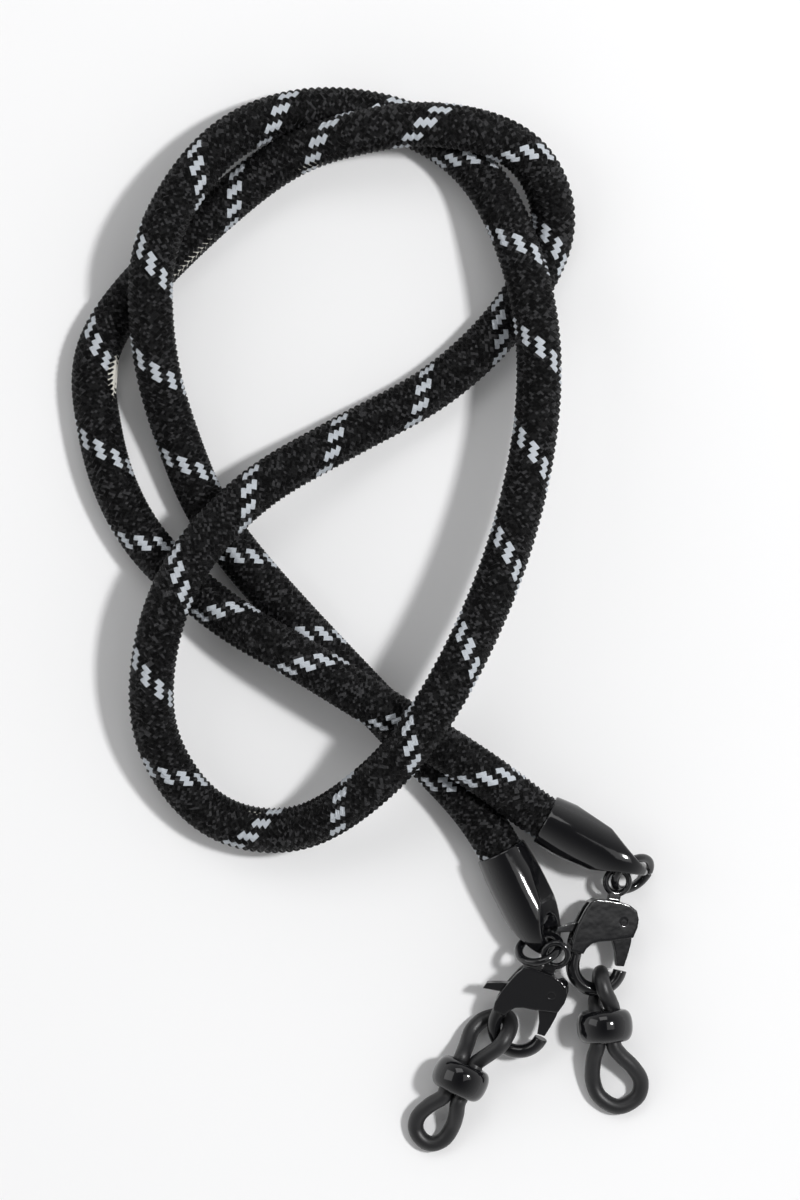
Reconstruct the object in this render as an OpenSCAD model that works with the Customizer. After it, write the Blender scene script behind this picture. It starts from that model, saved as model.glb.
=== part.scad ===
// Eyeglass retainer strap: a round braided cord with an end cap, a jump ring,
// a lobster clasp, a rubber temple loop and a slider bead at each end.
// It lies on a flat surface at z = 0. Units are millimetres.

/* [Cord] */
// Diameter of the braided cord
cord_d = 7; // [6:0.1:7]
// Diameter of the filler core inside the sheath
core_d = 4.6; // [3:0.1:5]
// Flat sides on the cord's plain tube
cord_sides = 10; // [8:1:12]

/* [End caps] */
// Length of an end cap from rim to tip
cap_len = 18.4; // [18:0.1:19]
// Diameter of the cap's mouth
cap_mouth_d = 8.1; // [7.8:0.1:8.6]
// Largest diameter of the cap's barrel
cap_belly_d = 8.9; // [8.6:0.1:8.9]
// Diameter of the bore that holds the cord
cap_bore_d = 7.1; // [7.05:0.01:7.3]
// Depth of the bore
cap_bore_depth = 8.5; // [7:0.1:9]
// Diameter of the cross hole for the jump ring
cross_hole_d = 2.8; // [2.8:0.1:3.2]
// Distance from the rim to the cross hole
cross_hole_at = 14.8; // [14.4:0.1:15]
// Thickness of the web round the cross hole
web_t = 0.9; // [0.8:0.1:1]
// Thickness of the adhesive behind the cord's end
glue_t = 0.5; // [0.3:0.1:0.8]

/* [Jump rings] */
// Wire diameter of a jump ring
ring_wire_d = 1.4; // [1:0.1:1.4]
// Diameter of the ring measured at the middle of its wire
ring_mid_d = 6.6; // [6.4:0.1:6.8]
// Angle of the split in the ring
ring_split = 6; // [3:1:10]

/* [Lobster clasps] */
// Thickness of the clasp across its two plates
clasp_t = 3.4; // [3.2:0.1:3.6]
// Width of the slot that the lever moves in
slot_t = 1.7; // [1.6:0.1:1.8]
// Thickness of the lever
lever_t = 1.4; // [1.2:0.1:1.4]
// Thickness of the hook bar
hook_t = 2.2; // [2:0.1:2.4]
// Diameter of the lever pin
pin_d = 1; // [0.8:0.1:1.1]
// Radial running clearance between the lever and its pin
pin_play = 0.05; // [0.02:0.01:0.1]
// Radius of the eye at the middle of its rim
eye_mid_r = 1.9; // [1.8:0.1:2]
// Thickness of the eye's rim
eye_rim_d = 1; // [0.9:0.1:1]

/* [Rubber loops and beads] */
// Diameter of the rubber cord
rubber_d = 2.5; // [2.3:0.1:2.5]
// Outer diameter of the slider bead
bead_d = 8.9; // [8.5:0.1:8.9]
// Length of the slider bead
bead_len = 5.1; // [4.5:0.1:5.2]
// Diameter of the hole through the bead
bead_hole_d = 5.4; // [5.3:0.05:5.6]

/* [Hidden] */

// Facets asked for on round shapes, thin bars and wire; above 12 they are true curves
round_fn = 64;
bar_fn = 32;
wire_fn = 16;
// Overlap that makes cuts run through a face
eps = 0.5;

// Where each cap's rim stands, and its roll, slope and yaw
cap_a_at = [-5, 19.5, 4.8];
cap_a_turn = [31, -2, -63];
cap_b_at = [2, 24.5, 5.5];
cap_b_turn = [0, 0, -28];

// Centre of each jump ring, its tilt about its long axis, its yaw and where it is split
ring_a_at = [1.1, 4.15, 6.3];
ring_a_turn = [-53, 17];
ring_a_split_at = 100;
ring_b_at = [15.95, 15.75, 3.45];
ring_b_turn = [53.5, 39.5];
ring_b_split_at = 309;

// Centre of each clasp's eye, and the clasp's pitch, roll and yaw
clasp_a_at = [3.7, 3.2, 8];
clasp_a_turn = [15.2, 0, -25];
clasp_b_at = [13.5, 14.55, 4.4];
clasp_b_turn = [0, 12, -12.7];

// Centre of each bead and the yaw of its axis, away from the clasp
bead_a_at = [-11.3, -16.6, 4.5];
bead_a_yaw = -115;
bead_b_at = [11.5, -8.3, 4.5];
bead_b_yaw = -87;

// Gap left between the core and the sheath
core_gap = 0.1;
// Depth that the cord goes into a cap
cord_in = cap_bore_depth - glue_t;
// How far apart the two strands lie in a bead, from the bead's axis
strand_off = rubber_d / 2 + 0.02;

// Route of the free cord, from cap A to cap B
free_route = [
    [-10, 27, 4.2], [-20.5, 38.1, 3.5], [-47.3, 67.4, 3.5], [-56.3, 85.2, 4], [-60, 101.5, 9.3],
    [-58.9, 116.3, 11], [-49.7, 130.6, 7.5], [-36.9, 136.6, 4], [-21.7, 135.4, 3.5], [-9.5, 128.1, 4.5],
    [-2.3, 114.7, 9.5], [0.9, 99, 12], [-0.3, 81.5, 13.5], [-5.5, 62.5, 16], [-14.4, 43.8, 18.8],
    [-23.9, 31.4, 14.8], [-37, 23, 7], [-50.5, 25, 4.5], [-59.2, 36.6, 6], [-59.7, 50.4, 9.5],
    [-54.8, 64.1, 11.6], [-44.3, 76, 9.8], [-29.3, 85.1, 5], [-14.7, 93.3, 3.5], [-3.2, 104.5, 3.5],
    [3.5, 118, 4], [-0.4, 129.1, 7], [-11.1, 133.6, 10.5], [-25.5, 133.2, 10], [-43, 126.5, 4.3],
    [-67, 102.7, 3.5], [-68.5, 86, 3.5], [-62.3, 69.8, 3.5], [-49.1, 57.2, 6], [-35.5, 49.2, 10.5],
    [-9.2, 32.8, 10]];

// Temple end and hook end of each rubber loop, either side of its straight neck
neck_a = [-3.4, -2.4, 0, 2.4, 3.8];
temple_a = [
    [-12, -22.4, 3.6], [-12.6, -24.4, 2.2], [-13.9, -26.4, 1.5], [-15.8, -27.2, 1.3],
    [-17.5, -26.4, 1.3], [-18.4, -24.6, 1.5], [-17.9, -22.6, 2.4], [-16.2, -20.9, 3.5]];
hook_a = [
    [-10.3, -11.3, 3.1], [-9.5, -9.2, 1.9], [-7.9, -7.6, 1.4], [-5.8, -6.9, 1.4],
    [-4, -6.9, 2.3], [-3.4, -8.2, 4.4], [-4.1, -9.9, 6], [-5.4, -11.6, 6.1]];
neck_b = [-1.6, 0, 3];
temple_b = [
    [14, -12.9, 4], [16, -14.9, 3.2], [17.3, -17.2, 2.1], [16.7, -19.8, 1.4], [13.8, -21.3, 1.3],
    [10.9, -19.8, 1.4], [9.7, -17, 1.9], [9.8, -13.6, 3.4]];
hook_b = [
    [10.1, -5.5, 3.8], [10.2, -4.2, 2.4], [10.7, -2.5, 1.5], [10.8, -0.8, 2],
    [10.9, 0.1, 4.1], [11, -0.8, 6.2], [11.4, -2.5, 6.7], [12.2, -4.2, 6.1], [12.7, -5.5, 5.1]];

// ---------- vectors and curves ----------

function unit(v) = v / norm(v);

// Direction along a cap, from rim to tip
function cap_axis(turn) = [cos(turn[2]) * cos(turn[1]), sin(turn[2]) * cos(turn[1]), sin(turn[1])];

function cap_point(at, turn, s) = at + s * cap_axis(turn);

route = concat(
    [cap_point(cap_a_at, cap_a_turn, cord_in), cap_point(cap_a_at, cap_a_turn, 0)],
    free_route,
    [cap_point(cap_b_at, cap_b_turn, 0), cap_point(cap_b_at, cap_b_turn, cord_in)]);

// A point of a loop's neck: side is 1 or -1, s is along the bead's axis
function neck_point(at, yaw, side, s) =
    at + s * [cos(yaw), sin(yaw), 0] + side * strand_off * [-sin(yaw), cos(yaw), 0];

function reversed(list) = [for (i = [len(list) - 1 : -1 : 0]) list[i]];

// Closed centre line of a rubber loop
function loop_line(at, yaw, neck, temple, hook) = concat(
    [for (s = neck) neck_point(at, yaw, 1, s)],
    temple,
    [for (s = reversed(neck)) neck_point(at, yaw, -1, s)],
    hook);

// Point of a closed smooth curve, t counted in control points
function on_curve(p, i, t) =
    let (n = len(p), a = p[(i + n - 1) % n], b = p[i], c = p[(i + 1) % n], d = p[(i + 2) % n])
    (2 * b + (c - a) * t + (2 * a - 5 * b + 4 * c - d) * t * t + (3 * b - a - 3 * c + d) * t * t * t) / 2;

// Each stretch of a closed curve cut into halves
function smooth_ring(p) = [for (i = [0 : len(p) - 1], t = [0, 0.5]) on_curve(p, i, t)];

// Direction of a path at point i, open or closed
function heading(p, i, closed) =
    let (n = len(p), last = n - 1)
    closed ? unit(p[(i + 1) % n] - p[(i + n - 1) % n])
           : unit(p[min(i + 1, last)] - p[max(i - 1, 0)]);

// One ring of points square to a heading, sides kept level
function ring_points(at, dir, side, r, sides) =
    let (u = cross(side, dir))
    [for (k = [0 : sides - 1]) at + r * (cos(360 * k / sides) * side + sin(360 * k / sides) * u)];

function level_side(dir) = unit(cross(dir, [0, 0, 1]));

// Side vector carried along a path so that the rings don't twist
function carried(p, i, side, out) =
    i == len(p) ? out
    : let (d = heading(p, i, true), s = unit(side - (side * d) * d))
      carried(p, i + 1, s, concat(out, [s]));

// Quads between ring a and ring b of a tube
function wall(a, b, sides) =
    [for (k = [0 : sides - 1])
        [a * sides + k, a * sides + (k + 1) % sides, b * sides + (k + 1) % sides, b * sides + k]];

function flat(lists) = [for (l = lists) for (x = l) x];

// ---------- shared shapes ----------

// Tube along an open path, solid when hole_r is 0
module open_tube(path, r, hole_r, sides) {
    n = len(path);
    outer = [for (i = [0 : n - 1])
        ring_points(path[i], heading(path, i, false), level_side(heading(path, i, false)), r, sides)];
    inner = [for (i = [0 : n - 1])
        ring_points(path[i], heading(path, i, false), level_side(heading(path, i, false)), hole_r, sides)];
    outer_wall = flat([for (i = [0 : n - 2]) wall(i, i + 1, sides)]);
    if (hole_r == 0) {
        ends = [[for (k = [sides - 1 : -1 : 0]) k], [for (k = [0 : sides - 1]) (n - 1) * sides + k]];
        polyhedron(flat(outer), concat(outer_wall, ends));
    } else {
        inner_wall = flat([for (i = [0 : n - 2]) wall(n + i + 1, n + i, sides)]);
        ends = concat(wall(n, 0, sides), wall(n - 1, 2 * n - 1, sides));
        polyhedron(flat(concat(outer, inner)), concat(outer_wall, inner_wall, ends));
    }
}

// Round rod along a closed path
module closed_tube(path, r, sides) {
    n = len(path);
    side = carried(path, 0, level_side(heading(path, 0, true)), []);
    rings = [for (i = [0 : n - 1]) ring_points(path[i], heading(path, i, true), side[i], r, sides)];
    polyhedron(flat(rings), flat([for (i = [0 : n - 1]) wall(i, (i + 1) % n, sides)]));
}

// Cap frame: Z runs from rim to tip, Y is the axis of the cross hole
module place_cap(at, turn)
    translate(at) rotate([0, 0, turn[2]]) rotate([0, -turn[1], 0]) rotate([turn[0], 0, 0])
        rotate([0, 90, 0]) children();

// Clasp frame: the eye's centre is the origin, the hook hangs towards -Y, plates lie in XY
module place_clasp(at, turn)
    translate(at) rotate([0, 0, turn[2]]) rotate([turn[0], 0, 0]) rotate([0, turn[1], 0]) children();

module place_bead(at, yaw)
    translate(at) rotate([0, 0, yaw]) rotate([0, 90, 0]) children();

// ---------- end cap ----------

belly_at = 6;
nose_power = 5;

// Radius of the cap's barrel at a distance s from the rim
function barrel_r(s) =
    s < belly_at
        ? cap_mouth_d / 2 + (cap_belly_d - cap_mouth_d) / 2 * sin(90 * s / belly_at)
        : cap_belly_d / 2 * sqrt(max(0, 1 - pow((s - belly_at) / (cap_len - belly_at), nose_power)));

// Length of cutting shapes, more than the cap is wide
cut_l = 12;
// Radii and half heights of the dish round the cross hole
dish_floor_r = 2.1;
dish_floor_h = 1.1;
dish_wall_r = 2.6;
dish_wall_h = 1.8;

// Half thickness of the blade along the cap, as [distance from rim, half thickness]
blade = [[-eps, 5], [4, 4.3], [10, 3.7], [14, 1.95], [18, 0.5], [18.3, 0.4], [cap_len + eps, 0.3]];

module end_cap_shape() {
    // Dish round the cross hole on each side of the web
    dish = [[cross_hole_d / 2 - eps, web_t / 2], [cross_hole_d / 2, web_t / 2],
        [dish_floor_r, dish_floor_h], [dish_wall_r, dish_wall_h], [dish_wall_r, cut_l / 2],
        [cross_hole_d / 2 - eps, cut_l / 2]];
    step = cap_len / 40;
    difference() {
        intersection() {
            rotate_extrude($fn = round_fn)
                polygon(concat([[0, 0]], [for (s = [0 : step : cap_len - step / 2]) [barrel_r(s), s]],
                    [[0, cap_len]]));
            rotate([90, 0, 90]) linear_extrude(cut_l, center = true)
                polygon(concat([for (b = blade) [b[1], b[0]]], [for (b = reversed(blade)) [-b[1], b[0]]]));
        }
        translate([0, 0, -eps]) cylinder(d = cap_bore_d, h = cap_bore_depth + eps, $fn = round_fn);
        translate([0, 0, cross_hole_at]) rotate([90, 0, 0]) {
            cylinder(d = cross_hole_d, h = cut_l, center = true, $fn = round_fn);
            rotate_extrude($fn = round_fn) polygon(dish);
            mirror([0, 0, 1]) rotate_extrude($fn = round_fn) polygon(dish);
        }
    }
}

module glue_plug_shape()
    translate([0, 0, cord_in]) cylinder(d = cap_bore_d, h = glue_t, $fn = round_fn);

// ---------- jump ring ----------

module jump_ring_shape(at, turn, split_at)
    translate(at) rotate([0, 0, turn[1]]) rotate([turn[0], 0, 0])
        rotate([0, 0, split_at + ring_split / 2])
            rotate_extrude(angle = 360 - ring_split, $fn = round_fn)
                translate([ring_mid_d / 2, 0]) circle(d = ring_wire_d, $fn = bar_fn);

// ---------- lobster clasp ----------

// Where the lever turns, and the round hook's centre and radius
pivot = [2.1, -6];
hook_centre = [-0.3, -13.6];
hook_r = 3.9;
spine_top = -10;

shell_outline = [
    [-1.1, -3.1], [-3, -3.3], [-3.8, -3.9], [-4.4, -5.2], [-4.9, -7], [-5.35, -8.8], [-5.5, -11],
    [-5.2, -12.3], [-3.2, -12.3], [-2.9, -11.4], [-2.2, -10.4], [-1, -9.8], [0.5, -9.4],
    [4.2, -8.1], [4.5, -6.3], [4.4, -5],
    [3.8, -3.8], [2.6, -3.2], [1.1, -3]];
slot_outline = [
    [-7, -4.4], [0.5, -3.9], [3.2, -4], [6, -4.6], [6, -11.2], [-2.2, -11.2], [-3, -10.3], [-7, -10.3]];
gate_outline = [
    [0.6, -7], [1.05, -9.05], [2.1, -11], [2.7, -13.1], [4, -12.9], [4.2, -11.2], [4.3, -9.1],
    [4.05, -6.5], [2.1, -5]];
arm_outline = [
    [2.1, -4.3], [-3.9, -7.1], [-5.6, -7.7], [-8, -8.9], [-8.2, -10], [-5.6, -9.3], [-3, -8.8], [1, -7.6]];

// Width, lowest reach and length of the neck under the eye
neck_w = 2;
neck_low = 3.5;
neck_l = 1.4;

module clasp_body_shape() {
    difference() {
        linear_extrude(clasp_t, center = true) polygon(shell_outline);
        linear_extrude(slot_t, center = true) polygon(slot_outline);
        translate([pivot[0], pivot[1], 0]) cylinder(d = pin_d, h = clasp_t + 1, center = true, $fn = bar_fn);
    }
    // Hook: a straight spine, then half a ring with a flat end that meets the gate
    translate([hook_centre[0] - hook_r, hook_centre[1], 0]) rotate([-90, 0, 0])
        cylinder(d = hook_t, h = spine_top - hook_centre[1], $fn = bar_fn);
    translate([hook_centre[0], hook_centre[1], 0]) rotate([0, 0, 180])
        rotate_extrude(angle = 180, $fn = round_fn) translate([hook_r, 0]) circle(d = hook_t, $fn = bar_fn);
    // Eye and the neck that carries it
    rotate_extrude($fn = round_fn) translate([eye_mid_r, 0]) circle(d = eye_rim_d, $fn = bar_fn);
    translate([-neck_w / 2, -neck_low, -eye_rim_d / 2]) cube([neck_w, neck_l, eye_rim_d]);
}

// Pocket in the lever's boss that hides the spring
spring_pocket_r = 1.3;
spring_pocket_depth = 0.8;
boss_r = 1.9;

module clasp_lever_shape()
    difference() {
        linear_extrude(lever_t, center = true) {
            translate(pivot) circle(r = boss_r, $fn = round_fn);
            polygon(gate_outline);
            polygon(arm_outline);
        }
        translate([pivot[0], pivot[1], 0])
            cylinder(r = pin_d / 2 + pin_play, h = lever_t + 1, center = true, $fn = bar_fn);
        translate([pivot[0], pivot[1], lever_t / 2 - spring_pocket_depth])
            cylinder(r = spring_pocket_r, h = spring_pocket_depth + eps, $fn = bar_fn);
    }

module lever_pin_shape()
    translate([pivot[0], pivot[1], 0]) cylinder(d = pin_d, h = clasp_t, center = true, $fn = bar_fn);

// Torsion spring: close-wound turns round the pin with two short legs
spring_wire_d = 0.24;
spring_mid_r = 0.82;
spring_turns = 2;
spring_leg = 0.75;
// Gap under the coil and how closely the turns lie, as a share of the wire
spring_gap = 0.05;
spring_pitch = 0.95;

module lever_spring_shape() {
    base = lever_t / 2 - spring_pocket_depth + spring_wire_d / 2 + spring_gap;
    translate([pivot[0], pivot[1], base]) {
        for (i = [0 : spring_turns - 1])
            translate([0, 0, i * spring_wire_d * spring_pitch]) rotate_extrude($fn = bar_fn)
                translate([spring_mid_r, 0]) circle(d = spring_wire_d, $fn = wire_fn);
        translate([0, spring_mid_r, 0]) rotate([0, 90, 0]) cylinder(d = spring_wire_d, h = spring_leg, $fn = wire_fn);
        translate([0, -spring_mid_r, 0]) rotate([0, 90, 0]) cylinder(d = spring_wire_d, h = spring_leg, $fn = wire_fn);
    }
}

// ---------- slider bead ----------

bead_power = 2.3;

// Fat ring: a half oval section whose straight side is the hole
module slider_bead_shape() {
    wall_t = (bead_d - bead_hole_d) / 2;
    rotate_extrude($fn = round_fn)
        polygon([for (t = [-90 : 9 : 90]) [
            bead_hole_d / 2 + wall_t * pow(max(0, cos(t)), 2 / bead_power),
            bead_len / 2 * sign(t) * pow(abs(sin(t)), 2 / bead_power)]]);
}

// ---------- sub-parts ----------

loop_sides = 10;

module cord_sheath() color("black") open_tube(route, cord_d / 2, core_d / 2, cord_sides);
module cord_core() color("gainsboro") open_tube(route, core_d / 2 - core_gap, 0, cord_sides);

module end_cap_a() color("black") place_cap(cap_a_at, cap_a_turn) end_cap_shape();
module glue_plug_a() color("wheat") place_cap(cap_a_at, cap_a_turn) glue_plug_shape();
module jump_ring_a() color("black") jump_ring_shape(ring_a_at, ring_a_turn, ring_a_split_at);
module clasp_body_a() color("black") place_clasp(clasp_a_at, clasp_a_turn) clasp_body_shape();
module clasp_lever_a() color("black") place_clasp(clasp_a_at, clasp_a_turn) clasp_lever_shape();
module lever_pin_a() color("dimgray") place_clasp(clasp_a_at, clasp_a_turn) lever_pin_shape();
module lever_spring_a() color("silver") place_clasp(clasp_a_at, clasp_a_turn) lever_spring_shape();
module rubber_loop_a() color("black")
    closed_tube(smooth_ring(loop_line(bead_a_at, bead_a_yaw, neck_a, temple_a, hook_a)),
        rubber_d / 2, loop_sides);
module slider_bead_a() color("black") place_bead(bead_a_at, bead_a_yaw) slider_bead_shape();

module end_cap_b() color("black") place_cap(cap_b_at, cap_b_turn) end_cap_shape();
module glue_plug_b() color("wheat") place_cap(cap_b_at, cap_b_turn) glue_plug_shape();
module jump_ring_b() color("black") jump_ring_shape(ring_b_at, ring_b_turn, ring_b_split_at);
module clasp_body_b() color("black") place_clasp(clasp_b_at, clasp_b_turn) clasp_body_shape();
module clasp_lever_b() color("black") place_clasp(clasp_b_at, clasp_b_turn) clasp_lever_shape();
module lever_pin_b() color("dimgray") place_clasp(clasp_b_at, clasp_b_turn) lever_pin_shape();
module lever_spring_b() color("silver") place_clasp(clasp_b_at, clasp_b_turn) lever_spring_shape();
module rubber_loop_b() color("black")
    closed_tube(smooth_ring(loop_line(bead_b_at, bead_b_yaw, neck_b, temple_b, hook_b)),
        rubber_d / 2, loop_sides);
module slider_bead_b() color("black") place_bead(bead_b_at, bead_b_yaw) slider_bead_shape();

cord_sheath();
cord_core();
end_cap_a();
glue_plug_a();
jump_ring_a();
clasp_body_a();
clasp_lever_a();
lever_pin_a();
lever_spring_a();
rubber_loop_a();
slider_bead_a();
end_cap_b();
glue_plug_b();
jump_ring_b();
clasp_body_b();
clasp_lever_b();
lever_pin_b();
lever_spring_b();
rubber_loop_b();
slider_bead_b();
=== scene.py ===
"""Looks of the eyeglass retainer strap: a braided cord with caps, rings, clasps, rubber loops and beads.

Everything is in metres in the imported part's frame: the strap lies on z = 0. Lengths written in
millimetres below are turned into metres with MM.
"""

import math

import bpy
import numpy as np
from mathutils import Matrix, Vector


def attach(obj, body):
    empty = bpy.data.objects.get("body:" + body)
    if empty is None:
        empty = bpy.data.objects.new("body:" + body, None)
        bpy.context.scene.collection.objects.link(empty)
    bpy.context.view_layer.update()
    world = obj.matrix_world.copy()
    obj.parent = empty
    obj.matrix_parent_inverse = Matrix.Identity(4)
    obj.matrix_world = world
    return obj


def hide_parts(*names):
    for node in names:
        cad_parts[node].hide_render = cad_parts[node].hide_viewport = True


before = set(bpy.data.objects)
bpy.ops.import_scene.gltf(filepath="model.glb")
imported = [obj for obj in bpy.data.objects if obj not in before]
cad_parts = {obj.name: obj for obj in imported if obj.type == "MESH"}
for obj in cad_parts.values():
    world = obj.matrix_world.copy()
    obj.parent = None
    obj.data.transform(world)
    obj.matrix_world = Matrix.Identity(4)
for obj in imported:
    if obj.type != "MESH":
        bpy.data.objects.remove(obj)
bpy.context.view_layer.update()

MM = 0.001

# ---------- braid ----------
CORD_D = 7.0
# One turn of a yarn round the cord, and the number of yarns
BRAID_LEAD = 16.5
CARRIERS = 32
# The braid's base radius is this much less than CORD_D / 2, and heights over it are in units of YARN_RELIEF
BRAID_INSET = 0.08
YARN_RELIEF = 0.27
RIDGE, SHOULDER, SIDE_GROOVE, PIT = 0.8, 0.45, -0.9, -1.3
# Which yarns of one direction are white, and the angle in radians that puts their marks in place
TRACERS = (0, 1, 2)
BRAID_PHASE = -0.27
# Shares of the black faces, four to a crossing, dealt the painted shade tone, the plain tone and the
# painted glint tone
SHADE_SHARES = (0.44, 0.38, 0.18)
SHADE_SEED = 7
# Material slot of the white yarn, after the three blacks
WHITE_SLOT = 3
# Stretch of the filament noise across and along a float
FILAMENT_SCALE = (7, 1.3, 1)
# The cord's end is this deep in its cap
CORD_IN = 8.0
# Points per stretch of the route, spacing of the even line and rounds of smoothing
ROUTE_STEPS, LINE_STEP, RELAX_ROUNDS = 24, 0.5, 60

# ---------- caps and cord route, as in the part ----------
CAP_A_AT = (-5, 19.5, 4.8)
CAP_A_SLOPE_YAW = (-2, -63)
CAP_B_AT = (2, 24.5, 5.5)
CAP_B_SLOPE_YAW = (0, -28)
FREE_ROUTE = [
    (-10, 27, 4.2), (-20.5, 38.1, 3.5), (-47.3, 67.4, 3.5), (-56.3, 85.2, 4), (-60, 101.5, 9.3),
    (-58.9, 116.3, 11), (-49.7, 130.6, 7.5), (-36.9, 136.6, 4), (-21.7, 135.4, 3.5), (-9.5, 128.1, 4.5),
    (-2.3, 114.7, 9.5), (0.9, 99, 12), (-0.3, 81.5, 13.5), (-5.5, 62.5, 16), (-14.4, 43.8, 18.8),
    (-23.9, 31.4, 14.8), (-37, 23, 7), (-50.5, 25, 4.5), (-59.2, 36.6, 6), (-59.7, 50.4, 9.5),
    (-54.8, 64.1, 11.6), (-44.3, 76, 9.8), (-29.3, 85.1, 5), (-14.7, 93.3, 3.5), (-3.2, 104.5, 3.5),
    (3.5, 118, 4), (-0.4, 129.1, 7), (-11.1, 133.6, 10.5), (-25.5, 133.2, 10), (-43, 126.5, 4.3),
    (-67, 102.7, 3.5), (-68.5, 86, 3.5), (-62.3, 69.8, 3.5), (-49.1, 57.2, 6), (-35.5, 49.2, 10.5),
    (-9.2, 32.8, 10)]

# ---------- rubber loops and beads, as in the part ----------
RUBBER_D = 2.5
# Each strand's centre is this far beside the bead's axis
STRAND_OFF = RUBBER_D / 2 + 0.02
LOOP_STEPS = 8
BEAD_D = 8.9
BEAD_LEN = 5.1
BEAD_HOLE_D = 5.4
# Width of the bead's round lips at its hole, and of the bevel inside them
BEAD_LIP, BEAD_BEVEL = 0.25, 0.07
LOOPS = {
    "a": {
        "bead": (-11.3, -16.6, 4.5), "yaw": -115, "neck": (-3.4, -2.4, 0, 2.4, 3.8),
        "temple": [
            (-12, -22.4, 3.6), (-12.6, -24.4, 2.2), (-13.9, -26.4, 1.5), (-15.8, -27.2, 1.3),
            (-17.5, -26.4, 1.3), (-18.4, -24.6, 1.5), (-17.9, -22.6, 2.4), (-16.2, -20.9, 3.5)],
        "hook": [
            (-10.3, -11.3, 3.1), (-9.5, -9.2, 1.9), (-7.9, -7.6, 1.4), (-5.8, -6.9, 1.4),
            (-4, -6.9, 2.3), (-3.4, -8.2, 4.4), (-4.1, -9.9, 6), (-5.4, -11.6, 6.1)]},
    "b": {
        "bead": (11.5, -8.3, 4.5), "yaw": -87, "neck": (-1.6, 0, 3),
        "temple": [
            (14, -12.9, 4), (16, -14.9, 3.2), (17.3, -17.2, 2.1), (16.7, -19.8, 1.4),
            (13.8, -21.3, 1.3), (10.9, -19.8, 1.4), (9.7, -17, 1.9), (9.8, -13.6, 3.4)],
        "hook": [
            (10.1, -5.5, 3.8), (10.2, -4.2, 2.4), (10.7, -2.5, 1.5), (10.8, -0.8, 2),
            (10.9, 0.1, 4.1), (11, -0.8, 6.2), (11.4, -2.5, 6.7), (12.2, -4.2, 6.1),
            (12.7, -5.5, 5.1)]}}

# ---------- cast parts ----------
# Voxel size, rounds of smoothing and inward trim of each softened CAD copy
SOFTENING = {
    "end_cap": (0.11, 34, 0), "jump_ring": (0.08, 5, 0.04),
    "clasp_body": (0.09, 18, 0), "clasp_lever": (0.08, 7, 0.04)}

# ---------- camera and floor ----------
# The camera looks straight down with a long lens, the picture's top towards +Y
VIEW_X, VIEW_Y = -20.9 * MM, 59.15 * MM
VIEW_HEIGHT = 190.8 * MM
LENS, SENSOR = 200, 36
FLOOR_REACH = 3.0


# ---------- curves ----------

def catmull_rom(points, steps, closed):
    """A smooth line through the points, each stretch cut into steps."""
    p = np.array(points, float)
    count = len(p)
    line = []
    for i in range(count if closed else count - 1):
        if closed:
            a, b, c, d = (p[(i + k) % count] for k in (-1, 0, 1, 2))
        else:
            a, b, c, d = (p[min(max(i + k, 0), count - 1)] for k in (-1, 0, 1, 2))
        for t in np.arange(steps) / steps:
            line.append((2 * b + (c - a) * t + (2 * a - 5 * b + 4 * c - d) * t * t
                         + (3 * b - a - 3 * c + d) * t ** 3) / 2)
    if not closed:
        line.append(p[-1])
    return np.array(line)


def evenly(line, step):
    """The open line again, its points a step apart."""
    along = np.concatenate([[0], np.cumsum(np.linalg.norm(np.diff(line, axis=0), axis=1))])
    count = max(2, int(round(along[-1] / step)) + 1)
    wanted = np.linspace(0, along[-1], count)
    return np.column_stack([np.interp(wanted, along, line[:, k]) for k in range(3)])


def relaxed(line, rounds):
    """The open line with its small kinks smoothed out. Its ends and their headings stay."""
    line = line.copy()
    for _ in range(rounds):
        line[2:-2] += 0.5 * ((line[1:-3] + line[3:-1]) / 2 - line[2:-2])
    return line


def carried_frames(line, closed=False):
    """A heading and two side vectors at each point, carried along without twist."""
    ahead = np.roll(line, -1, 0) - np.roll(line, 1, 0) if closed else np.gradient(line, axis=0)
    ahead /= np.linalg.norm(ahead, axis=1)[:, None]
    side = np.cross(ahead[0], (0, 0, 1.0))
    sides = []
    for d in ahead:
        side = side - d * side.dot(d)
        side /= np.linalg.norm(side)
        sides.append(side)
    sides = np.array(sides)
    return ahead, sides, np.cross(ahead, sides)


def cap_axis(slope, yaw):
    """Heading from a cap's mouth into the cap, from its slope and yaw in degrees."""
    slope, yaw = math.radians(slope), math.radians(yaw)
    return np.array([math.cos(yaw) * math.cos(slope), math.sin(yaw) * math.cos(slope), math.sin(slope)])


def cord_line():
    """Centre line of the cord in millimetres, from inside cap A to inside cap B."""
    ends = []
    for at, turn in ((CAP_A_AT, CAP_A_SLOPE_YAW), (CAP_B_AT, CAP_B_SLOPE_YAW)):
        ends.append((np.array(at) + CORD_IN * cap_axis(*turn), np.array(at, float)))
    route = [ends[0][0], ends[0][1], *FREE_ROUTE, ends[1][1], ends[1][0]]
    line = evenly(catmull_rom(route, ROUTE_STEPS, closed=False), LINE_STEP)
    return relaxed(line, RELAX_ROUNDS)


# ---------- mesh helpers ----------

def new_object(name, vertices, faces):
    """Smooth mesh object from vertices in millimetres."""
    mesh = bpy.data.meshes.new(name)
    mesh.from_pydata((np.asarray(vertices) * MM).tolist(), [], faces)
    mesh.validate()
    mesh.polygons.foreach_set("use_smooth", [True] * len(mesh.polygons))
    obj = bpy.data.objects.new(name, mesh)
    bpy.context.scene.collection.objects.link(obj)
    return obj


def placed(obj, node, body, material):
    """Puts a finished piece on its body in place of a CAD node."""
    obj.data.materials.clear()
    obj.data.materials.append(material)
    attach(obj, body)
    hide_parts(node)


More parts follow.
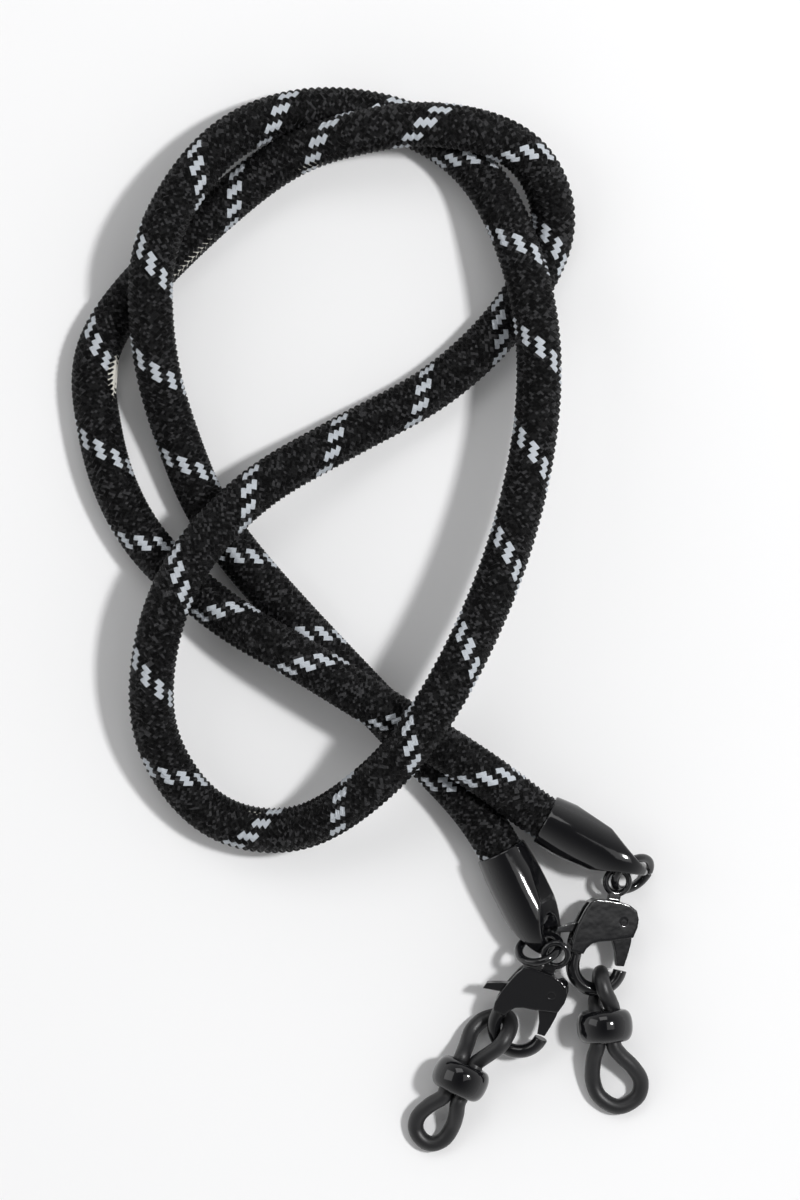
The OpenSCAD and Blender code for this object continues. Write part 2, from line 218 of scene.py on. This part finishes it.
def softened(node, name, voxel, rounds, trim):
    """A copy of a CAD node with the melted edges of a plated casting. Sizes in millimetres."""
    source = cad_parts[node]
    obj = bpy.data.objects.new(name, source.data.copy())
    bpy.context.scene.collection.objects.link(obj)
    for v in obj.data.vertices:
        v.co /= MM
    remesh = obj.modifiers.new("remesh", "REMESH")
    remesh.mode = "VOXEL"
    remesh.voxel_size = voxel
    remesh.use_smooth_shade = True
    smooth = obj.modifiers.new("smooth", "SMOOTH")
    smooth.factor = 0.5
    smooth.iterations = rounds
    if trim:
        inward = obj.modifiers.new("trim", "DISPLACE")
        inward.mid_level = 0
        inward.strength = -trim
    bpy.context.view_layer.update()
    evaluated = obj.evaluated_get(bpy.context.evaluated_depsgraph_get())
    mesh = bpy.data.meshes.new_from_object(evaluated)
    obj.modifiers.clear()
    obj.data = mesh
    for v in obj.data.vertices:
        v.co *= MM
    obj.data.polygons.foreach_set("use_smooth", [True] * len(obj.data.polygons))
    return obj


# ---------- braided cord ----------

def braided_cord(line, materials):
    """Two-over-two round braid. Every crossing is a diamond of four quads on a lattice of yarns."""
    half = CARRIERS // 2
    ring_step = BRAID_LEAD / (2 * CARRIERS)
    along = np.concatenate([[0], np.cumsum(np.linalg.norm(np.diff(line, axis=0), axis=1))])
    length = float(along[-1])
    rings = int(length / ring_step) + 1
    at = np.arange(rings) * ring_step
    centre = np.column_stack([np.interp(at, along, line[:, k]) for k in range(3)])
    _, side, up = carried_frames(line)
    side = np.column_stack([np.interp(at, along, side[:, k]) for k in range(3)])
    up = np.column_stack([np.interp(at, along, up[:, k]) for k in range(3)])

    def s_on_top(u, v):
        """Whether yarn u of the first direction passes over yarn v of the other."""
        return (u - v) % 4 < 2

    vertices = np.zeros((rings, CARRIERS, 3))
    for r in range(rings):
        slots = 2 * np.arange(CARRIERS) + r % 2
        i = (r + slots) // 2
        j = (r - slots) // 2
        even_i, even_j = i % 2 == 0, j % 2 == 0
        height = np.empty(CARRIERS)
        u, v = i // 2, j // 2
        here = s_on_top(u, v)
        next_u, next_v = s_on_top(u + 1, v), s_on_top(u, v + 1)
        centre_cell = even_i & even_j
        corner = ~even_i & ~even_j
        between_u, between_v = ~even_i & even_j, even_i & ~even_j
        height[centre_cell] = SHOULDER
        height[corner] = PIT
        height[between_u] = np.where(~here & ~next_u, RIDGE, SIDE_GROOVE)[between_u]
        height[between_v] = np.where(here & next_v, RIDGE, SIDE_GROOVE)[between_v]
        radius = CORD_D / 2 - BRAID_INSET + YARN_RELIEF * height
        angle = slots * math.pi / CARRIERS + BRAID_PHASE
        vertices[r] = (centre[r] + radius[:, None] * (np.cos(angle)[:, None] * side[r]
                                                      + np.sin(angle)[:, None] * up[r]))

    def index(i, j):
        """Number of the vertex where lattice lines i and j cross."""
        r, m = i + j, (i - j) % (2 * CARRIERS)
        return r * CARRIERS + m // 2

    shades = np.random.RandomState(SHADE_SEED)
    faces, slots_used, coordinates = [], [], []
    for r in range(rings - 2):
        for m in range(r % 2, 2 * CARRIERS, 2):
            i, j = (r + m) // 2, (r - m) // 2
            u, v = (i + 1) // 2, (j + 1) // 2
            top_s = s_on_top(u, v)
            corners = ((i, j), (i, j + 1), (i + 1, j + 1), (i + 1, j))
            faces.append([index(*c) for c in corners])
            is_tracer = top_s and u % half in TRACERS
            # Black faces are dealt at random a painted shade, plain or painted glint tone; the glint tone
            # stands in for light caught by the filaments
            slots_used.append(WHITE_SLOT if is_tracer else int(shades.choice(WHITE_SLOT, p=SHADE_SHARES)))
            for c in corners:
                across, lengthwise = (c[0] / 2, c[1] / 2) if top_s else (c[1] / 2 + half, c[0] / 2)
                coordinates.append((across, lengthwise))
    obj = new_object("braided_cord", vertices.reshape(-1, 3), faces)
    layer = obj.data.uv_layers.new(name="yarn")
    layer.data.foreach_set("uv", np.array(coordinates, np.float32).reshape(-1))
    for material in materials:
        obj.data.materials.append(material)
    obj.data.polygons.foreach_set("material_index", slots_used)
    return obj, centre, length


# ---------- rubber loops and beads ----------

def loop_line(loop):
    """Closed centre line of a rubber loop in millimetres."""
    yaw = math.radians(loop["yaw"])
    along = np.array([math.cos(yaw), math.sin(yaw), 0])
    beside = np.array([-math.sin(yaw), math.cos(yaw), 0])
    bead = np.array(loop["bead"])
    out = [bead + s * along + STRAND_OFF * beside for s in loop["neck"]]
    back = [bead + s * along - STRAND_OFF * beside for s in reversed(loop["neck"])]
    return catmull_rom([*out, *loop["temple"], *back, *loop["hook"]], LOOP_STEPS, closed=True)


def rubber_tube(name, line, sides=28):
    """Round tube along a closed line, its last ring joined to the first without a twist."""
    _, side, up = carried_frames(line, closed=True)
    count = len(line)
    angle = np.arange(sides) * 2 * math.pi / sides
    ring = np.cos(angle)[None, :, None] * side[:, None] + np.sin(angle)[None, :, None] * up[:, None]
    vertices = (line[:, None] + RUBBER_D / 2 * ring).reshape(-1, 3)
    last = ring[-1] @ np.column_stack([side[0], up[0]])
    turn = int(round(math.atan2(last[0][1], last[0][0]) * sides / (2 * math.pi)))
    faces = []
    for i in range(count):
        shift = turn if i == count - 1 else 0
        for k in range(sides):
            a, b = i * sides + k, i * sides + (k + 1) % sides
            n = (i + 1) % count * sides
            faces.append((a, b, n + (k + 1 + shift) % sides, n + (k + shift) % sides))
    return new_object(name, vertices, faces)


def bead_ring(name, loop, around=112, section=40, power=2.3):
    """Fat polished ring: a half oval section, its hole side straight with small round lips."""
    yaw = math.radians(loop["yaw"])
    axis = np.array([math.cos(yaw), math.sin(yaw), 0])
    beside, up = np.array([-math.sin(yaw), math.cos(yaw), 0]), np.array([0, 0, 1.0])
    wall = (BEAD_D - BEAD_HOLE_D) / 2
    t = np.linspace(-math.pi / 2, math.pi / 2, section - 6)
    out = np.abs(np.cos(t)) ** (2 / power)
    lengthwise = np.sign(t) * np.abs(np.sin(t)) ** (2 / power)
    hole_side = np.array([1, 0.5, -0.5, -1]) * (BEAD_LEN / 2 - BEAD_LIP)
    over_hole = np.concatenate([
        BEAD_LIP + (wall - BEAD_LIP) * out, [BEAD_BEVEL], np.zeros(len(hole_side)), [BEAD_BEVEL]])
    radius = BEAD_HOLE_D / 2 + over_hole
    bevel_at = BEAD_LEN / 2 - BEAD_BEVEL
    x = np.concatenate([BEAD_LEN / 2 * lengthwise, [bevel_at], hole_side, [-bevel_at]])
    angle = np.arange(around) * 2 * math.pi / around
    ring = np.cos(angle)[:, None] * beside + np.sin(angle)[:, None] * up
    vertices = np.array(loop["bead"]) + ring[:, None] * radius[None, :, None] + x[None, :, None] * axis
    faces = []
    for i in range(around):
        for k in range(section):
            a, b = i * section, (i + 1) % around * section
            faces.append((a + k, a + (k + 1) % section, b + (k + 1) % section, b + k))
    return new_object(name, vertices.reshape(-1, 3), faces)


# ---------- materials ----------

def material_with(name):
    """A new material with its node tree and shader."""
    material = bpy.data.materials.new(name)
    material.use_nodes = True
    tree = material.node_tree
    return material, tree, tree.nodes["Principled BSDF"]


def noise(tree, scale, detail, vector=None):
    """Noise in object space, or over the given vector."""
    node = tree.nodes.new("ShaderNodeTexNoise")
    node.inputs["Scale"].default_value = scale
    node.inputs["Detail"].default_value = detail
    if vector is None:
        coordinates = tree.nodes.new("ShaderNodeTexCoord")
        tree.links.new(coordinates.outputs["Object"], node.inputs["Vector"])
    else:
        tree.links.new(vector, node.inputs["Vector"])
    return node.outputs["Fac"]


def mapped(tree, value, low, high):
    """A value from 0 to 1 spread from low to high."""
    node = tree.nodes.new("ShaderNodeMapRange")
    tree.links.new(value, node.inputs["Value"])
    node.inputs["To Min"].default_value = low
    node.inputs["To Max"].default_value = high
    return node.outputs["Result"]


def bumped(tree, shader, height, distance, strength=1.0):
    """Bump on the shader, its distance in metres."""
    node = tree.nodes.new("ShaderNodeBump")
    node.inputs["Distance"].default_value = distance
    node.inputs["Strength"].default_value = strength
    tree.links.new(height, node.inputs["Height"])
    tree.links.new(node.outputs["Normal"], shader.inputs["Normal"])


def yarn_material(name, colour, roughness, gloss):
    """Filament yarn: fine streaks run along each float, from the yarn coordinates."""
    material, tree, shader = material_with(name)
    shader.inputs["Base Color"].default_value = (*colour, 1)
    shader.inputs["Specular IOR Level"].default_value = gloss
    shader.inputs["Sheen Weight"].default_value = 0.02
    uv = tree.nodes.new("ShaderNodeUVMap")
    uv.uv_map = "yarn"
    stretch = tree.nodes.new("ShaderNodeMapping")
    stretch.inputs["Scale"].default_value = FILAMENT_SCALE
    tree.links.new(uv.outputs["UV"], stretch.inputs["Vector"])
    filaments = noise(tree, 1.0, 3.0, stretch.outputs["Vector"])
    bumped(tree, shader, filaments, 0.0003)
    patches = noise(tree, 420, 2.0)
    tree.links.new(mapped(tree, patches, roughness - 0.1, roughness + 0.1), shader.inputs["Roughness"])
    return material


def plated_material():
    """Glossy black plating on a casting, with a faint orange peel and finer wear in the gloss."""
    material, tree, shader = material_with("black_plating")
    shader.inputs["Base Color"].default_value = (0.006, 0.006, 0.007, 1)
    shader.inputs["IOR"].default_value = 1.6
    wear = noise(tree, 700, 5.0)
    tree.links.new(mapped(tree, wear, 0.05, 0.13), shader.inputs["Roughness"])
    peel = noise(tree, 380, 2.0)
    bumped(tree, shader, peel, 0.00003, 0.6)
    return material


def rubber_material():
    """Satin moulded rubber with a fine matt grain and a trace of dust."""
    material, tree, shader = material_with("satin_rubber")
    grain = noise(tree, 2600, 3.0)
    dust = noise(tree, 240, 6.0)
    shader.inputs["Base Color"].default_value = (0.011, 0.011, 0.012, 1)
    tree.links.new(mapped(tree, dust, 0.36, 0.5), shader.inputs["Roughness"])
    bumped(tree, shader, grain, 0.00003, 0.5)
    return material


def bead_material():
    """Polished black bead with a barely uneven moulded surface."""
    material, tree, shader = material_with("polished_bead")
    shader.inputs["Base Color"].default_value = (0.005, 0.005, 0.006, 1)
    shader.inputs["IOR"].default_value = 1.55
    smears = noise(tree, 520, 4.0)
    tree.links.new(mapped(tree, smears, 0.04, 0.1), shader.inputs["Roughness"])
    ripple = noise(tree, 260, 1.0)
    bumped(tree, shader, ripple, 0.00003, 0.5)
    return material


def core_material():
    """Undyed filler yarn, seen only at a cut end."""
    material, tree, shader = material_with("filler_yarn")
    shader.inputs["Base Color"].default_value = (0.7, 0.68, 0.62, 1)
    shader.inputs["Roughness"].default_value = 0.8
    strands = noise(tree, 1500, 3.0)
    bumped(tree, shader, strands, 0.0001)
    return material


def adhesive_material():
    """Cured adhesive, faintly cloudy."""
    material, tree, shader = material_with("cured_adhesive")
    shader.inputs["Base Color"].default_value = (0.62, 0.52, 0.3, 1)
    cloud = noise(tree, 600, 3.0)
    tree.links.new(mapped(tree, cloud, 0.3, 0.5), shader.inputs["Roughness"])
    return material


def spring_material():
    """Bright drawn spring wire."""
    material, tree, shader = material_with("spring_wire")
    shader.inputs["Base Color"].default_value = (0.55, 0.55, 0.57, 1)
    shader.inputs["Metallic"].default_value = 1
    drawn = noise(tree, 3000, 2.0)
    tree.links.new(mapped(tree, drawn, 0.2, 0.35), shader.inputs["Roughness"])
    return material


# ---------- stage, light and camera ----------

def floor_material():
    """Plain pale table top, nearly matt."""
    material, _, shader = material_with("pale_floor")
    shader.inputs["Base Color"].default_value = (0.9, 0.9, 0.905, 1)
    shader.inputs["Roughness"].default_value = 0.9
    shader.inputs["Specular IOR Level"].default_value = 0.1
    return material


def make_floor(material):
    """Flat square at z = 0, centred under the camera."""
    mesh = bpy.data.meshes.new("floor")
    corners = [(VIEW_X + x * FLOOR_REACH, VIEW_Y + y * FLOOR_REACH, 0)
               for x, y in ((-1, -1), (1, -1), (1, 1), (-1, 1))]
    mesh.from_pydata(corners, [], [(0, 1, 2, 3)])
    floor = bpy.data.objects.new("floor", mesh)
    mesh.materials.append(material)
    bpy.context.scene.collection.objects.link(floor)


def area_light(name, azimuth, elevation, distance, size, power):
    """White softbox aimed at the middle of the picture. Azimuth 0 is along +X, counted towards +Y."""
    a, e = math.radians(azimuth), math.radians(elevation)
    aim = Vector((VIEW_X, VIEW_Y, 0))
    away = Vector((math.cos(a) * math.cos(e), math.sin(a) * math.cos(e), math.sin(e)))
    data = bpy.data.lights.new(name, "AREA")
    data.shape = "RECTANGLE"
    data.size, data.size_y = size
    data.energy = power
    light = bpy.data.objects.new(name, data)
    light.location = aim + distance * away
    light.rotation_euler = (-away).to_track_quat("-Z", "Y").to_euler()
    bpy.context.scene.collection.objects.link(light)


def make_world(overhead, low):
    """Studio walls: dim overhead, brighter towards the floor."""
    world = bpy.data.worlds.new("studio")
    world.use_nodes = True
    tree = world.node_tree
    coordinates = tree.nodes.new("ShaderNodeTexCoord")
    split = tree.nodes.new("ShaderNodeSeparateXYZ")
    tree.links.new(coordinates.outputs["Generated"], split.inputs["Vector"])
    background = tree.nodes["Background"]
    tree.links.new(mapped(tree, split.outputs["Z"], low, overhead), background.inputs["Strength"])
    background.inputs["Color"].default_value = (1, 1, 1, 1)
    bpy.context.scene.world = world


def make_camera():
    """Camera above the middle of the picture."""
    data = bpy.data.cameras.new("camera")
    data.sensor_width = SENSOR
    data.lens = LENS
    data.clip_start, data.clip_end = 0.01, 20
    camera = bpy.data.objects.new("camera", data)
    camera.location = (VIEW_X, VIEW_Y, VIEW_HEIGHT * LENS / SENSOR)
    bpy.context.scene.collection.objects.link(camera)
    bpy.context.scene.camera = camera


make_camera()
make_world(0.05, 0.9)
area_light("key", 12, 60, 1.4, (0.14, 0.14), 12.5)
area_light("key_halo", 4, 66, 1.5, (0.6, 0.8), 1.3)
area_light("fill_left", 165, 38, 1.5, (0.7, 1.0), 2.6)
area_light("fill_top", 100, 55, 1.5, (0.8, 0.6), 2.6)
make_floor(floor_material())
bpy.context.scene.view_settings.view_transform = "Standard"

# ---------- build ----------

line = cord_line()
# The darkest black is painted shade and the lightest black is painted glints: colour standing in for light
# and shade on the yarn's floats
yarns = [yarn_material("black_yarn_painted_shade", (0.0015, 0.0015, 0.0017), 0.34, 0.08),
         yarn_material("black_yarn", (0.007, 0.007, 0.0075), 0.34, 0.12),
         yarn_material("black_yarn_painted_glint", (0.034, 0.034, 0.036), 0.34, 0.2),
         yarn_material("white_yarn", (0.6, 0.64, 0.69), 0.48, 0.35)]
cord, cord_centres, cord_length = braided_cord(line, yarns)
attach(cord, "strap")
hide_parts("cord_sheath")

# CAD node, looks piece and body of each cast part, with the end's letter for {}
CASTINGS = (
    ("end_cap", "cap_{}", "strap"), ("jump_ring", "ring_{}_wire", "ring_{}"),
    ("clasp_body", "clasp_{}_cast", "clasp_{}"), ("clasp_lever", "lever_{}_cast", "lever_{}"))
plating, rubber, polish = plated_material(), rubber_material(), bead_material()
core, glue, wire = core_material(), adhesive_material(), spring_material()
for end in "ab":
    for part, name, body in CASTINGS:
        node = f"{part}_{end}"
        casting = softened(node, name.format(end), *SOFTENING[part])
        placed(casting, node, body.format(end), plating)
    tube = rubber_tube(f"loop_{end}_rubber", loop_line(LOOPS[end]))
    placed(tube, f"rubber_loop_{end}", f"loop_{end}", rubber)
    bead = bead_ring(f"bead_{end}_ring", LOOPS[end])
    placed(bead, f"slider_bead_{end}", f"bead_{end}", polish)
    for part, material in (("glue_plug", glue), ("lever_pin", plating), ("lever_spring", wire)):
        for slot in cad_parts[f"{part}_{end}"].material_slots:
            slot.material = material
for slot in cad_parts["cord_core"].material_slots:
    slot.material = core
